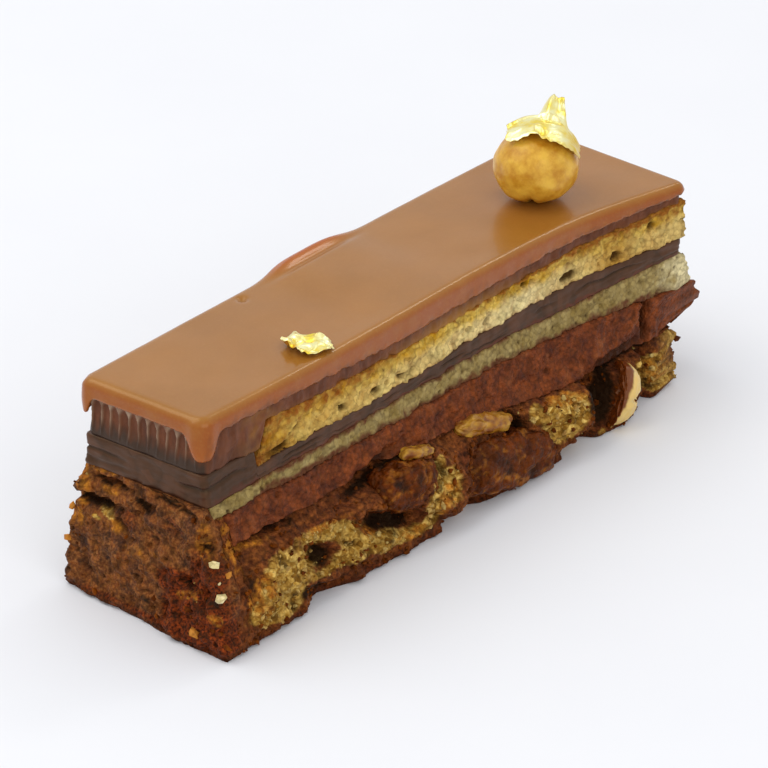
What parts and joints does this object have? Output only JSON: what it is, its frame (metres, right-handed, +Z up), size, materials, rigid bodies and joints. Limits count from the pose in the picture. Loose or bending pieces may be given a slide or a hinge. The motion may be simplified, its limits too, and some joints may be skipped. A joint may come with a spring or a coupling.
{
  "type": "praline entremet",
  "caption": "Cut bar of layered praline cake under a milk chocolate glaze, with a roasted hazelnut and gold leaf on top.",
  "frame": {"origin": "in the flat face that the bar rests on, under the middle of the glazed top", "axes": "+X along the bar from the finished end to the cut end, +Y across it away from the cut long face that was shown, +Z up"},
  "size_m": [0.1283, 0.0438, 0.0567],
  "materials": {
    "glaze": "satin milk chocolate glaze",
    "praline_mousse": "soft, knife-marked",
    "almond_sponge": "porous pale crumb",
    "soaked_sponge": "damp porous crumb",
    "dark_ganache": "smooth satin",
    "chocolate_cremeux": "dense and rough",
    "hazelnut_cake": "torn crumb with a browned crust",
    "chocolate_lump": "crumbly",
    "roasted_nut": "satin",
    "gold_leaf": "polished leaf"
  },
  "bodies": {
    "root": {"glaze": "glaze", "praline_mousse": "praline_mousse", "almond_sponge_upper": "almond_sponge", "dark_ganache": "dark_ganache", "almond_sponge_lower": "soaked_sponge", "chocolate_cremeux": "chocolate_cremeux", "hazelnut_cake": "hazelnut_cake", "chocolate_lump_large": "chocolate_lump", "chocolate_lump_middle": "chocolate_lump", "chocolate_lump_back": "chocolate_lump", "hazelnut_wedge": "roasted_nut", "hazelnut_chip": "roasted_nut", "hazelnut_half": "roasted_nut", "hazelnut_half_back": "roasted_nut", "hazelnut_whole": "roasted_nut", "gold_leaf_on_nut": "gold_leaf", "gold_leaf_flake": "gold_leaf"}
  },
  "joints": []
}
